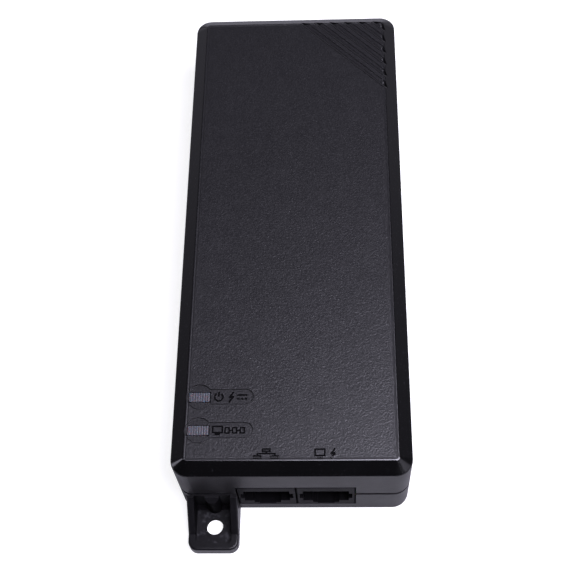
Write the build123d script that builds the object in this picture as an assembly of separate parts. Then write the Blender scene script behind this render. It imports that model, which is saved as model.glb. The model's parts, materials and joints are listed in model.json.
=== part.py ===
from build123d import *
import math
import os

# Power-over-Ethernet injector: a two-part moulded case, long axis along Y.
# The socket end faces -Y and the mains inlet faces +Y; X runs across and Z is up.
# The origin is on the flat underside, at the middle of the case. Sizes are in millimetres.

# ---------------------------------------------------------------- case
BODY_WIDTH = 60.0
BODY_LENGTH = 145.0
BODY_HEIGHT = 29.0
CORNER_RADIUS = 4.4
WALL = 2.2
FLOOR = 1.6
ROOF = 2.0
PARTING_Z = 12.5
BEVEL_INSET = 3.4
BEVEL_DROP = 2.2
BEVEL_LOWER_FILLET = 0.5
BEVEL_UPPER_FILLET = 0.8
CEILING_BEVEL_INSET = 1.4
CEILING_BEVEL_DROP = 1.0
FOOT_FILLET = 0.8

# Shadow groove round the joint, and the lip that locates the cover
GROOVE_DEPTH = 0.8
GROOVE_HALF_HEIGHT = 0.65
LIP_THICKNESS = 0.9
LIP_HEIGHT = 1.5
LIP_CLEARANCE = 0.1

# Mounting ears: the second one is the first given a half turn about Z
EAR_X = -21.1
EAR_WIDTH = 13.2
EAR_REACH = 12.2
EAR_FLOOR = 2.0
EAR_RIM_Z = 4.0
EAR_SIDE_WALL = 1.9
EAR_END_WALL = 1.8
EAR_SLOPE_END = 8.1
EAR_LANDING = 0.7
EAR_CORNER_RADIUS = 2.5
EAR_HOLE_RADIUS = 2.2
EAR_HOLE_FROM_WALL = 5.4
EAR_RIB_RADIUS = 1.95
EAR_FOOT_CHAMFER = 0.5
EAR_RIM_FILLET = 0.6

# Indicator recesses, placed from the socket end
KEYHOLE_X = -23.2
POWER_FROM_END = 20.2
PORT_FROM_END = 11.3
KEYHOLE_RADIUS = 3.45
KEYHOLE_DEPTH = 0.25
KEYHOLE_LINE_WIDTH = 0.35
KEYHOLE_LINE_DEPTH = 0.6
KEYHOLE_TAB_HEIGHT = 4.3
KEYHOLE_TAB_END_X = -9.4
WINDOW_WIDTH = 5.7
WINDOW_LENGTH = 2.9
WINDOW_GAP = 0.25
WINDOW_SHIFT = 0.12
WINDOW_SUNK = 0.1
MARK_RELIEF = 0.2
SOCKET_MARKS_FROM_END = 5.1

# Diagonal ribs across one corner of the top face, pitch taken along the face's edges
RIB_GROOVES = 6
RIB_FIRST = 2.4
RIB_PITCH = 4.3
RIB_DEPTH = 0.45
RIB_CROWN = 0.02

# Label recess in the underside
LABEL_WIDTH = 40.0
LABEL_LENGTH = 72.0
LABEL_THICKNESS = 0.15
LABEL_RECESS = 0.3
LABEL_GAP = 0.2

# ---------------------------------------------------------------- board and screws
BOARD_Z = 2.8
BOARD_THICKNESS = 1.6
BOARD_WIDTH = 54.4
BOARD_LENGTH = 139.6
LEAD_RADIUS = 0.35
LEAD_HOLE_RADIUS = 0.5
LEAD_TAIL = 0.6
SHEET_Z = 1.7
SHEET_THICKNESS = 0.25
SHEET_WIDTH = 50.0
SHEET_LENGTH = 120.0

SCREW_X = 24.2
SCREW_Y = 67.0
SCREW_TIP_Z = 20.0
SCREW_HEAD_RADIUS = 2.5
SCREW_HEAD_HEIGHT = 1.7
SCREW_RADIUS = 1.45
SCREW_CLEARANCE = 0.15
COUNTERBORE_RADIUS = 2.75
COUNTERBORE_DEPTH = 2.4
BASE_BOSS_RADIUS = 3.6
BASE_BOSS_TOP = 8.0
COVER_BOSS_RADIUS = 3.1
BOARD_SCREW_PLACES = ((22.5, -50.0), (-21.0, 57.0))
BOARD_SCREW_RADIUS = 1.25
BOARD_SCREW_TIP_Z = 0.9
BOARD_POST_RADIUS = 2.8
REST_POST_RADIUS = 1.8
REST_POST_PLACES = tuple((x, y) for x in (-15.0, 15.0) for y in (-34.0, 1.0, 26.0))

# ---------------------------------------------------------------- eight-way sockets
SOCKET_PITCH = 15.24
SOCKET_MIDDLE_X = 0.7
SOCKET_WIDTH = 14.95
SOCKET_HEIGHT = 13.2
SOCKET_DEPTH = 17.5
PLUG_WIDTH = 11.8
PLUG_BOTTOM = 2.7
PLUG_TOP = 10.3
PLUG_DEPTH = 15.0
NOTCH_WIDTH = 13.6
NOTCH_BOTTOM = 4.7
NOTCH_TOP = 8.2
NOTCH_DEPTH = 4.0
LATCH_WIDTH = 6.9
LATCH_BOTTOM = 1.2
LATCH_STEP_WIDTH = 4.4
LATCH_STEP_BOTTOM = 0.5
CHAMBER_WIDTH = 9.6
CHAMBER_TOP = 12.05
SOCKET_PEG_RADIUS = 1.6
SOCKET_PEG_SPACING = 11.43
SOCKET_PEG_FROM_FACE = 8.9

# Contact wires: a sprung arm hinged at the front bend, and a fixed lead to the board
CONTACTS = 8
CONTACT_PITCH = 1.016
CONTACT_WIDTH = 0.45
CONTACT_THICKNESS = 0.35
CONTACT_AXIS_FROM_FACE = 3.2
CONTACT_AXIS_UP = 10.9
CONTACT_KNUCKLE = 0.3
CONTACT_GAP = 0.3
CONTACT_ARM = 9.0
CONTACT_DROOP = 20.0
LEAD_ROW_FROM_FACE = 18.0
LEAD_ROW_PITCH = 2.5

# ---------------------------------------------------------------- mains inlet
INLET_WIDTH = 27.6
INLET_HEIGHT = 20.4
INLET_DEPTH = 20.5
INLET_FLANGE = 1.6
MOUTH_WIDTH = 24.6
MOUTH_HEIGHT = 16.8
MOUTH_DEPTH = 16.5
MOUTH_CHAMFER = 5.0
PIN_THICKNESS = 2.0
PIN_WIDTH = 4.0
PIN_SPACING = 7.0
PIN_OFFSET = 2.0
PIN_SETBACK = 1.5
PIN_TAIL = 23.0

# ---------------------------------------------------------------- where the components stand
MAGNETICS_AT = (-6.9, -44.5)
POE_CHIP_AT = (11.0, -46.0)
OUTPUT_CAP_PLACES = ((-16.5, -30.0), (-5.5, -30.0))
OUTPUT_COIL_AT = (6.5, -31.0)
OUTPUT_SINK_AT = (23.6, -25.0)
OPTOCOUPLER_AT = (11.0, -14.0)
Y_CAP_AT = (-1.0, -15.5)
TRANSFORMER_AT = (-9.0, 3.0)
BULK_CAP_AT = (15.5, 8.0)
CONTROL_CHIP_AT = (1.5, 21.5)
THERMISTOR_AT = (-10.5, 24.0)
PRIMARY_SINK_AT = (-24.0, 31.0)
BRIDGE_AT = (14.5, 30.0)
CHOKE_AT = (-6.0, 38.5)
X_CAP_AT = (14.0, 40.5)
FUSE_AT = (-20.5, 48.5)
VARISTOR_AT = (21.5, 50.5)

SINK_THICKNESS = 2.2
SINK_LENGTH = 22.0
SINK_HEIGHT = 18.0
SINK_SCREW_UP = 15.0

# ---------------------------------------------------------------- derived places
HALF_WIDTH = BODY_WIDTH / 2
HALF_LENGTH = BODY_LENGTH / 2
SOCKET_FACE_Y = -HALF_LENGTH
INLET_FACE_Y = HALF_LENGTH
BEVEL_Z = BODY_HEIGHT - BEVEL_DROP
TOP_EDGE_X = HALF_WIDTH - BEVEL_INSET
TOP_EDGE_Y = HALF_LENGTH - BEVEL_INSET
BOARD_TOP = BOARD_Z + BOARD_THICKNESS
LAN_X = SOCKET_MIDDLE_X - SOCKET_PITCH / 2
POE_X = SOCKET_MIDDLE_X + SOCKET_PITCH / 2
INLET_MID_Z = BOARD_TOP + INLET_HEIGHT / 2
CONTACT_AXIS_Y = SOCKET_FACE_Y + CONTACT_AXIS_FROM_FACE
CONTACT_AXIS_Z = BOARD_TOP + CONTACT_AXIS_UP


# ---------------------------------------------------------------- shapes used throughout
def block(x0, x1, y0, y1, z0, z1):
    """A box between two corners."""
    return Pos((x0 + x1) / 2, (y0 + y1) / 2, (z0 + z1) / 2) * Box(x1 - x0, y1 - y0, z1 - z0)


def pad(x, y, width, length, z0, z1):
    """A box centred on x, y."""
    return Pos(x, y, (z0 + z1) / 2) * Box(width, length, z1 - z0)


def rod(x, y, z0, z1, radius):
    """An upright cylinder."""
    return Pos(x, y, (z0 + z1) / 2) * Cylinder(radius, z1 - z0)


def case_slab(inset, z0, z1):
    """The plan of the case, taken in all round by inset."""
    width = BODY_WIDTH - 2 * inset
    length = BODY_LENGTH - 2 * inset
    plan = RectangleRounded(width, length, CORNER_RADIUS - inset)
    return Pos(0, 0, z0) * extrude(plan, z1 - z0)


def across(points, x0, x1):
    """A closed outline of (y, z) points, carried along X."""
    outline = Polyline(*[(x0, y, z) for y, z in points], close=True)
    return extrude(make_face(outline), x1 - x0, dir=(1, 0, 0))


def half_turn(shape):
    """The same shape at the other end of the case."""
    return Rot(0, 0, 180) * shape


def fused(shapes):
    """Several shapes joined into one."""
    shapes = list(shapes)
    return shapes[0] + shapes[1:] if len(shapes) > 1 else shapes[0]


def pair(place, gap, along_y=False):
    """Two places either side of a centre."""
    return row(place, 2, gap, along_y)


def row(place, count, pitch, along_y=False):
    """Evenly spaced places about a centre."""
    offsets = [(index - (count - 1) / 2) * pitch for index in range(count)]
    if along_y:
        return [(place[0], place[1] + offset) for offset in offsets]
    return [(place[0] + offset, place[1]) for offset in offsets]


def legs(places, top):
    """Round leads from a component down through the board."""
    return [rod(x, y, BOARD_Z - LEAD_TAIL, top, LEAD_RADIUS) for x, y in places]


def screw_places():
    return [(sx * SCREW_X, sy * SCREW_Y) for sx in (-1, 1) for sy in (-1, 1)]


def pan_head_screw(x, y, head_z, direction, head_radius, head_height, radius, tip_z):
    """A screw whose head lies on head_z; direction is +1 when the head is above its seat."""
    top = head_z + direction * head_height
    head = rod(x, y, min(head_z, top), max(head_z, top), head_radius)
    rim = [e for e in head.edges() if abs(e.center().Z - top) < 0.01]
    head = fillet(rim, 0.5)
    shank = rod(x, y, min(head_z, tip_z), max(head_z, tip_z), radius)
    slot_low, slot_high = sorted((top - direction * 0.8, top + direction * 0.2))
    screw = head + shank
    for width, length in ((0.7, 2.6), (2.6, 0.7)):
        screw = screw - pad(x, y, width, length, slot_low, slot_high)
    return screw


# ---------------------------------------------------------------- leads through the board
def disc_legs(place):
    return pair(place, 5.0)


def sink_legs(place):
    return pair(place, SINK_LENGTH - 5.0, along_y=True)


def chip_legs(place, count, pitch, span):
    """Two rows of leads, one each side of a chip that lies along X."""
    x, y = place
    return row((x, y - span / 2), count, pitch) + row((x, y + span / 2), count, pitch)


def transistor_legs(place, side):
    """Three leads beside a heatsink; side is +1 when the device stands on its +X side."""
    return row((place[0] + side * (SINK_THICKNESS / 2 + 2.4), place[1]), 3, 2.54, along_y=True)


def socket_lead_places(x):
    """Tails of the contact wires, in two staggered rows."""
    places = []
    for index, (lead_x, _) in enumerate(row((x, 0), CONTACTS, CONTACT_PITCH)):
        back = LEAD_ROW_FROM_FACE + LEAD_ROW_PITCH * (index % 2)
        places.append((lead_x, SOCKET_FACE_Y + back))
    return places


def transformer_legs():
    x, y = TRANSFORMER_AT
    return row((x, y - 10.5), 4, 5.0) + row((x, y + 10.5), 4, 5.0)


def bulk_cap_legs():
    return pair((BULK_CAP_AT[0], BULK_CAP_AT[1] + 16.0), 7.5)


def choke_legs():
    x, y = CHOKE_AT
    return pair((x, y - 5.0), 10.0) + pair((x, y + 5.0), 10.0)


def lead_holes():
    """Every place where a lead passes through the board."""
    places = disc_legs(THERMISTOR_AT) + disc_legs(VARISTOR_AT) + disc_legs(Y_CAP_AT)
    places += pair(FUSE_AT, 5.1, along_y=True) + pair(X_CAP_AT, 15.0) + row(BRIDGE_AT, 4, 3.8)
    places += sink_legs(PRIMARY_SINK_AT) + sink_legs(OUTPUT_SINK_AT)
    places += transistor_legs(PRIMARY_SINK_AT, 1) + transistor_legs(OUTPUT_SINK_AT, -1)
    places += chip_legs(OPTOCOUPLER_AT, 2, 2.54, 7.6) + chip_legs(CONTROL_CHIP_AT, 4, 2.54, 7.6)
    places += transformer_legs() + bulk_cap_legs() + choke_legs()
    places += [leg for place in OUTPUT_CAP_PLACES for leg in pair(place, 5.0)]
    places += pair(OUTPUT_COIL_AT, 7.0, along_y=True)
    return places + socket_lead_places(LAN_X) + socket_lead_places(POE_X)


# ---------------------------------------------------------------- case parts
def shadow_groove():
    """The ring cut all round the joint, half in each part of the case."""
    low = PARTING_Z - GROOVE_HALF_HEIGHT
    high = PARTING_Z + GROOVE_HALF_HEIGHT
    around = block(-HALF_WIDTH - 9, HALF_WIDTH + 9, -HALF_LENGTH - 20, HALF_LENGTH + 20, low, high)
    return around - case_slab(GROOVE_DEPTH, low, high)


def end_windows():
    """The openings that the sockets and the inlet fill."""
    low = BOARD_TOP - WINDOW_GAP
    left = LAN_X - SOCKET_WIDTH / 2 - WINDOW_GAP
    right = POE_X + SOCKET_WIDTH / 2 + WINDOW_GAP
    deep = WALL + 0.6
    high = BOARD_TOP + SOCKET_HEIGHT + WINDOW_GAP
    sockets = block(left, right, SOCKET_FACE_Y - 1, SOCKET_FACE_Y + deep, low, high)
    half = INLET_WIDTH / 2 + WINDOW_GAP
    high = BOARD_TOP + INLET_HEIGHT + WINDOW_GAP
    inlet = block(-half, half, INLET_FACE_Y - deep, INLET_FACE_Y + 1, low, high)
    return [sockets, inlet]


def rib_groove(from_corner):
    """One cusp between two crowned ribs, across the corner of the top face."""
    half = RIB_PITCH / math.sqrt(2) / 2
    rise = RIB_DEPTH + RIB_CROWN
    radius = (half ** 2 + rise ** 2) / (2 * rise)
    reach = half - math.sqrt(radius ** 2 - (radius - RIB_CROWN) ** 2)
    crest = BODY_HEIGHT + RIB_CROWN
    belly = crest - radius + math.sqrt(radius ** 2 - (half - reach / 2) ** 2)
    start, end = (from_corner - reach, BODY_HEIGHT), (from_corner + reach, BODY_HEIGHT)
    bottom = (from_corner, BODY_HEIGHT - RIB_DEPTH)
    corner = Plane(origin=(TOP_EDGE_X, TOP_EDGE_Y, 0), x_dir=(-1, -1, 0), z_dir=(-1, 1, 0))
    with BuildSketch(corner) as cusp:
        with BuildLine():
            ThreePointArc(start, (from_corner - reach / 2, belly), bottom)
            ThreePointArc(bottom, (from_corner + reach / 2, belly), end)
            Polyline(end, (end[0], BODY_HEIGHT + 1), (start[0], BODY_HEIGHT + 1), start)
        make_face()
    return extrude(cusp.sketch, 30, both=True)


def rib_grooves():
    along_edge = [RIB_FIRST + RIB_PITCH * index for index in range(RIB_GROOVES)]
    return [rib_groove(distance / math.sqrt(2)) for distance in along_edge]


def keyhole_form(from_end, inset, depth):
    """A disc with a round-ended tab to its right, taken in by inset."""
    y = SOCKET_FACE_Y + from_end
    low, high = BODY_HEIGHT - depth, BODY_HEIGHT + 1
    half = KEYHOLE_TAB_HEIGHT / 2 - inset
    end_x = KEYHOLE_TAB_END_X - KEYHOLE_TAB_HEIGHT / 2
    disc = rod(KEYHOLE_X, y, low, high, KEYHOLE_RADIUS - inset)
    return disc + [block(KEYHOLE_X, end_x, y - half, y + half, low, high), rod(end_x, y, low, high, half)]


def keyhole(from_end):
    """One indicator recess, with a deeper line all round its floor."""
    line = keyhole_form(from_end, 0, KEYHOLE_LINE_DEPTH)
    line = line - keyhole_form(from_end, KEYHOLE_LINE_WIDTH, KEYHOLE_LINE_DEPTH + 1)
    return keyhole_form(from_end, 0, KEYHOLE_DEPTH) + line


def stroke(x0, y0, x1, y1, width, z0, z1):
    """A straight bar between two points of the top face."""
    turn = math.degrees(math.atan2(y1 - y0, x1 - x0))
    bar = Box(math.hypot(x1 - x0, y1 - y0), width, z1 - z0)
    return Pos((x0 + x1) / 2, (y0 + y1) / 2, (z0 + z1) / 2) * Rot(0, 0, turn) * bar


def hollow_box(x, y, width, length, line, z0, z1):
    return pad(x, y, width, length, z0, z1) - pad(x, y, width - 2 * line, length - 2 * line, z0, z1)


def power_mark(x, y, size, z0, z1):
    """A broken ring with a stroke through its top."""
    line = size * 0.16
    ring = rod(x, y, z0, z1, size * 0.48) - rod(x, y, z0, z1, size * 0.48 - line)
    ring = ring - pad(x, y + size * 0.4, size * 0.42, size * 0.3, z0, z1)
    return [ring, stroke(x, y + size * 0.04, x, y + size * 0.55, line, z0, z1)]


def spark_mark(x, y, size, z0, z1):
    """A zigzag of three strokes."""
    corners = [(0.2, 0.5), (-0.2, -0.06), (0.2, 0.06), (-0.2, -0.5)]
    ends = [(x + size * a, y + size * b) for a, b in corners]
    return [fused(stroke(*ends[i], *ends[i + 1], size * 0.17, z0, z1) for i in range(3))]


def port_mark(x, y, size, z0, z1):
    """The outline of a socket with its latch step."""
    frame = hollow_box(x, y + size * 0.1, size * 1.1, size * 0.8, size * 0.15, z0, z1)
    return [frame + pad(x, y - size * 0.38, size * 0.5, size * 0.24, z0, z1)]


def link_mark(x, y, size, z0, z1):
    """Three small boxes joined by a line."""
    line = size * 0.17
    boxes = [hollow_box(x + k * size, y, size * 0.7, size * 0.9, line, z0, z1) for k in (-1, 0, 1)]
    joins = [pad(x + k * size / 2, y, size * 0.4, line, z0, z1) for k in (-1, 1)]
    return [fused(boxes + joins)]


def tree_mark(x, y, size, z0, z1):
    """One box above two, joined by a forked line."""
    line = size * 0.14
    reach = size * 0.8
    places = [(x, y + size * 0.33), (x - reach, y - size * 0.33), (x + reach, y - size * 0.33)]
    boxes = [hollow_box(px, py, reach, size * 0.36, line, z0, z1) for px, py in places]
    stems = [pad(px, (py + y) / 2, line, size * 0.33, z0, z1) for px, py in places]
    stems = fused(stems) - [pad(px, py, reach - line, size * 0.3, z0, z1) for px, py in places]
    return [fused(boxes + stems.solids() + [pad(x, y, 2 * reach + line, line, z0, z1)])]


def supply_mark(x, y, size, z0, z1):
    """A bar over three dashes, the sign for direct current."""
    line = size * 0.17
    bar = pad(x, y + size * 0.2, size, line, z0, z1)
    return [bar] + [pad(x + k * size * 0.38, y - size * 0.2, size * 0.24, line, z0, z1) for k in (-1, 0, 1)]


def raised_marks():
    """Symbols for power, port, data and supply, in place of lettering."""
    low = BODY_HEIGHT - KEYHOLE_DEPTH - 0.1
    high = BODY_HEIGHT - KEYHOLE_DEPTH + MARK_RELIEF
    power_y = SOCKET_FACE_Y + POWER_FROM_END
    port_y = SOCKET_FACE_Y + PORT_FROM_END
    marks = power_mark(-18.3, power_y, 2.6, low, high) + spark_mark(-15.1, power_y, 2.8, low, high)
    marks += supply_mark(-12.4, power_y, 2.6, low, high)
    marks += port_mark(-18.3, port_y, 2.5, low, high) + link_mark(-14.0, port_y, 1.9, low, high)
    low = BODY_HEIGHT - 0.1
    high = BODY_HEIGHT + MARK_RELIEF
    over_y = SOCKET_FACE_Y + SOCKET_MARKS_FROM_END
    marks += tree_mark(-6.0, over_y, 2.7, low, high)
    marks += port_mark(7.2, over_y, 2.5, low, high) + spark_mark(10.4, over_y, 2.6, low, high)
    return marks


def cover_outside():
    """The cover's outer form: rounded corners and the long bevel under the top face."""
    form = case_slab(0, PARTING_Z, BODY_HEIGHT)
    top = form.faces().sort_by(Axis.Z)[-1]
    form = chamfer(top.edges(), BEVEL_INSET, BEVEL_DROP, reference=top)
    level = [e for e in form.edges() if e.bounding_box().size.Z < 0.001]
    form = fillet([e for e in level if abs(e.center().Z - BEVEL_Z) < 0.01], BEVEL_LOWER_FILLET)
    return fillet(form.faces().sort_by(Axis.Z)[-1].edges(), BEVEL_UPPER_FILLET)


def cover_inside():
    """The hollow of the cover, bevelled to keep an even wall, with the rebate for the lip."""
    hollow = case_slab(WALL, PARTING_Z - 1, BODY_HEIGHT - ROOF)
    ceiling = hollow.faces().sort_by(Axis.Z)[-1]
    hollow = chamfer(ceiling.edges(), CEILING_BEVEL_INSET, CEILING_BEVEL_DROP, reference=ceiling)
    rebate_inset = WALL - LIP_THICKNESS - LIP_CLEARANCE
    return hollow + case_slab(rebate_inset, PARTING_Z - 1, PARTING_Z + LIP_HEIGHT + 0.2)


def make_top_cover():
    boss_top = BODY_HEIGHT - ROOF / 2
    cover = cover_outside() - cover_inside()
    cover = cover + [rod(x, y, BASE_BOSS_TOP + 0.1, boss_top, COVER_BOSS_RADIUS) for x, y in screw_places()]
    cuts = [rod(x, y, 0, SCREW_TIP_Z + 1.5, SCREW_RADIUS + 0.05) for x, y in screw_places()]
    cuts += [shadow_groove()] + end_windows() + rib_grooves()
    for from_end in (POWER_FROM_END, PORT_FROM_END):
        y = SOCKET_FACE_Y + from_end
        cuts += [keyhole(from_end)]
        cuts += [pad(KEYHOLE_X, y, WINDOW_WIDTH, WINDOW_LENGTH, BODY_HEIGHT - 5, BODY_HEIGHT + 1)]
    return (cover - cuts) + raised_marks()


def ear_outside():
    """An ear with sloped cheeks that rise to the joint of the case."""
    wall = SOCKET_FACE_Y
    top = PARTING_Z - GROOVE_HALF_HEIGHT
    slope_end = (wall - EAR_SLOPE_END, EAR_RIM_Z)
    profile = [(wall, 0), (wall - EAR_REACH, 0), (wall - EAR_REACH, EAR_RIM_Z), slope_end]
    profile += [(wall - EAR_LANDING, top), (wall, top)]
    ear = across(profile, EAR_X - EAR_WIDTH / 2, EAR_X + EAR_WIDTH / 2)
    ear = fillet(ear.edges().filter_by(Axis.Z).sort_by(Axis.Y)[:2], EAR_CORNER_RADIUS)
    rim = [e for e in ear.edges() if abs(e.bounding_box().min.Z - EAR_RIM_Z) < 0.01]
    rim = [e for e in rim if e.bounding_box().size.Y > 0.01 or e.center().Y < wall - EAR_REACH + 0.1]
    ear = fillet(rim, EAR_RIM_FILLET)
    foot = ear.faces().sort_by(Axis.Z)[0].edges()
    return chamfer([e for e in foot if e.center().Y < wall - 0.1], EAR_FOOT_CHAMFER)


def ear_pocket():
    """The space over the ear's floor, less the half-round rib on the end wall."""
    wall = SOCKET_FACE_Y
    half = EAR_WIDTH / 2 - EAR_SIDE_WALL
    front = wall - EAR_REACH + EAR_END_WALL
    pocket = block(EAR_X - half, EAR_X + half, front, wall, EAR_FLOOR, PARTING_Z + 1)
    pocket = fillet(pocket.edges().filter_by(Axis.Z).sort_by(Axis.Y)[:2], 1.0)
    foot = [(wall, EAR_FLOOR), (wall - 1, EAR_FLOOR), (wall, EAR_FLOOR + 1)]
    rib = rod(EAR_X, wall, EAR_FLOOR, PARTING_Z - GROOVE_HALF_HEIGHT, EAR_RIB_RADIUS)
    return pocket - [across(foot, EAR_X - half, EAR_X + half), rib]


def make_wall_ears():
    """Both wall ears, which meet the end walls of the base face to face."""
    hole = rod(EAR_X, SOCKET_FACE_Y - EAR_HOLE_FROM_WALL, -1, EAR_FLOOR + 1, EAR_HOLE_RADIUS)
    ear = ear_outside() - [ear_pocket(), hole]
    return [ear, half_turn(ear)]


def shell_body():
    """The tray of the base with its lip."""
    tray = case_slab(0, 0, PARTING_Z)
    tray = fillet(tray.faces().sort_by(Axis.Z)[0].edges(), FOOT_FILLET)
    tray = tray - case_slab(WALL, FLOOR, PARTING_Z + 1)
    lip = case_slab(WALL - LIP_THICKNESS, PARTING_Z - 0.5, PARTING_Z + LIP_HEIGHT)
    lip = lip - case_slab(WALL, PARTING_Z - 1, PARTING_Z + LIP_HEIGHT)
    return tray + lip


def make_bottom_shell():
    shell = shell_body()
    posts = [rod(x, y, FLOOR / 2, BASE_BOSS_TOP, BASE_BOSS_RADIUS) for x, y in screw_places()]
    posts += [rod(x, y, FLOOR / 2, BOARD_Z, BOARD_POST_RADIUS) for x, y in BOARD_SCREW_PLACES]
    posts += [rod(x, y, FLOOR / 2, BOARD_Z, REST_POST_RADIUS) for x, y in REST_POST_PLACES]
    cuts = [shadow_groove()] + end_windows()
    cuts += [rod(x, y, -1, COUNTERBORE_DEPTH, COUNTERBORE_RADIUS) for x, y in screw_places()]
    cuts += [rod(x, y, -1, BASE_BOSS_TOP + 1, SCREW_RADIUS + SCREW_CLEARANCE) for x, y in screw_places()]
    pilot = (BOARD_SCREW_TIP_Z - 0.2, BOARD_Z + 1, BOARD_SCREW_RADIUS + 0.05)
    cuts += [rod(x, y, *pilot) for x, y in BOARD_SCREW_PLACES]
    cuts += [pad(0, 0, LABEL_WIDTH + 2 * LABEL_GAP, LABEL_LENGTH + 2 * LABEL_GAP, -1, LABEL_RECESS)]
    return (shell + posts) - cuts


def make_rating_label():
    label = pad(0, 0, LABEL_WIDTH, LABEL_LENGTH, LABEL_RECESS - LABEL_THICKNESS, LABEL_RECESS)
    return fillet(label.edges().filter_by(Axis.Z), 1.5)


def make_case_screws():
    seat = COUNTERBORE_DEPTH
    size = (SCREW_HEAD_RADIUS, SCREW_HEAD_HEIGHT, SCREW_RADIUS, SCREW_TIP_Z)
    return [pan_head_screw(x, y, seat, -1, *size) for x, y in screw_places()]


# ---------------------------------------------------------------- board and indicators
def make_main_board():
    half_x, half_y = BOARD_WIDTH / 2, BOARD_LENGTH / 2
    board = block(-half_x, half_x, -half_y, half_y, BOARD_Z, BOARD_TOP)
    notch = 2 * (BASE_BOSS_RADIUS + 0.4)
    cuts = [pad(x, y, notch, notch, BOARD_Z - 1, BOARD_TOP + 1) for x, y in screw_places()]
    cuts += [rod(x, y, BOARD_Z, BOARD_TOP, LEAD_HOLE_RADIUS) for x, y in lead_holes()]
    cuts += [rod(x, y, BOARD_Z, BOARD_TOP, BOARD_SCREW_RADIUS + 0.35) for x, y in BOARD_SCREW_PLACES]
    cuts += [rod(x, y, BOARD_Z, BOARD_TOP, 0.9) for x, y in inlet_tail_places()]
    for x in (LAN_X, POE_X):
        pegs = pair((x, SOCKET_FACE_Y + SOCKET_PEG_FROM_FACE), SOCKET_PEG_SPACING)
        cuts += [rod(px, py, BOARD_Z, BOARD_TOP, SOCKET_PEG_RADIUS + 0.15) for px, py in pegs]
    return board - cuts


def make_board_screws():
    size = (2.3, 1.6, BOARD_SCREW_RADIUS, BOARD_SCREW_TIP_Z)
    return [pan_head_screw(x, y, BOARD_TOP, 1, *size) for x, y in BOARD_SCREW_PLACES]


def make_insulating_sheet():
    sheet = pad(0, 0, SHEET_WIDTH, SHEET_LENGTH, SHEET_Z, SHEET_Z + SHEET_THICKNESS)
    cuts = [rod(x, y, 0, 4, REST_POST_RADIUS + 0.4) for x, y in REST_POST_PLACES]
    cuts += [rod(x, y, 0, 4, BOARD_POST_RADIUS + 0.4) for x, y in BOARD_SCREW_PLACES]
    return sheet - cuts


def light_pipe(from_end):
    """A clear column from a board lamp to its window, with a ribbed head and a flange."""
    y = SOCKET_FACE_Y + from_end + WINDOW_SHIFT
    width, length = WINDOW_WIDTH - 2 * WINDOW_GAP, WINDOW_LENGTH - 2 * WINDOW_GAP
    top = BODY_HEIGHT - KEYHOLE_DEPTH - WINDOW_SUNK
    ceiling = BODY_HEIGHT - ROOF
    head = pad(KEYHOLE_X, y, width, length, ceiling - 0.6, top)
    head = head - [pad(x, y, 0.2, length + 1, top - 0.12, top + 1) for x, _ in row((KEYHOLE_X, y), 7, 0.65)]
    flange = pad(KEYHOLE_X, y, width + 0.4, length + 2.4, ceiling - 1.3, ceiling - 0.1)
    return head + [flange, pad(KEYHOLE_X, y, width - 1, length - 0.4, BOARD_TOP + 2.6, ceiling - 1)]


def lamp(from_end):
    """A surface-mounted indicator lamp."""
    y = SOCKET_FACE_Y + from_end
    base = pad(KEYHOLE_X, y, 3.2, 2.8, BOARD_TOP, BOARD_TOP + 1.7)
    base = chamfer(base.faces().sort_by(Axis.Z)[-1].edges(), 0.2)
    return base + rod(KEYHOLE_X, y, BOARD_TOP + 1.5, BOARD_TOP + 2.1, 1.0)


# ---------------------------------------------------------------- sockets
def socket_housing(x):
    """A latch-down eight-way socket with a chamber over the plug for the contact wires."""
    face, base = SOCKET_FACE_Y, BOARD_TOP
    half = SOCKET_WIDTH / 2
    body = block(x - half, x + half, face, face + SOCKET_DEPTH, base, base + SOCKET_HEIGHT)
    body = chamfer(body.faces().sort_by(Axis.Y)[0].edges(), 0.25)

    def cavity(width, depth, low, high):
        return block(x - width / 2, x + width / 2, face - 1, face + depth, base + low, base + high)

    cuts = [cavity(PLUG_WIDTH, PLUG_DEPTH, PLUG_BOTTOM, PLUG_TOP)]
    cuts += [cavity(NOTCH_WIDTH, NOTCH_DEPTH, NOTCH_BOTTOM, NOTCH_TOP)]
    cuts += [cavity(LATCH_WIDTH, PLUG_DEPTH - 2, LATCH_BOTTOM, PLUG_BOTTOM + 0.1)]
    cuts += [cavity(LATCH_STEP_WIDTH, PLUG_DEPTH - 2, LATCH_STEP_BOTTOM, LATCH_BOTTOM + 0.1)]
    chamber = CHAMBER_WIDTH / 2
    start, top = face + 1.9, base + CHAMBER_TOP
    cuts += [block(x - chamber, x + chamber, start, face + PLUG_DEPTH, base + PLUG_TOP - 0.1, top)]
    cuts += [block(x - chamber, x + chamber, start, face + SOCKET_DEPTH + 1, top - 0.8, top)]
    pegs = pair((x, face + SOCKET_PEG_FROM_FACE), SOCKET_PEG_SPACING)
    return (body - cuts) + [rod(px, py, BOARD_Z - 0.3, base + 0.4, SOCKET_PEG_RADIUS) for px, py in pegs]


def contact_springs(x):
    """The eight sprung arms, from the front bend down and back into the plug space."""
    turn = Rot(-CONTACT_DROOP, 0, 0)
    arms = []
    for wire_x, _ in row((x, 0), CONTACTS, CONTACT_PITCH):
        arm = Pos(0, CONTACT_ARM / 2, 0) * Box(CONTACT_WIDTH, CONTACT_ARM, CONTACT_THICKNESS)
        tip = Pos(0, CONTACT_ARM, 0) * Rot(0, 90, 0) * Cylinder(CONTACT_THICKNESS / 2, CONTACT_WIDTH)
        knuckle = Rot(0, 90, 0) * Cylinder(CONTACT_KNUCKLE, CONTACT_WIDTH)
        arms.append(Pos(wire_x, CONTACT_AXIS_Y, CONTACT_AXIS_Z) * turn * (arm + [tip, knuckle]))
    return arms


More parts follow.
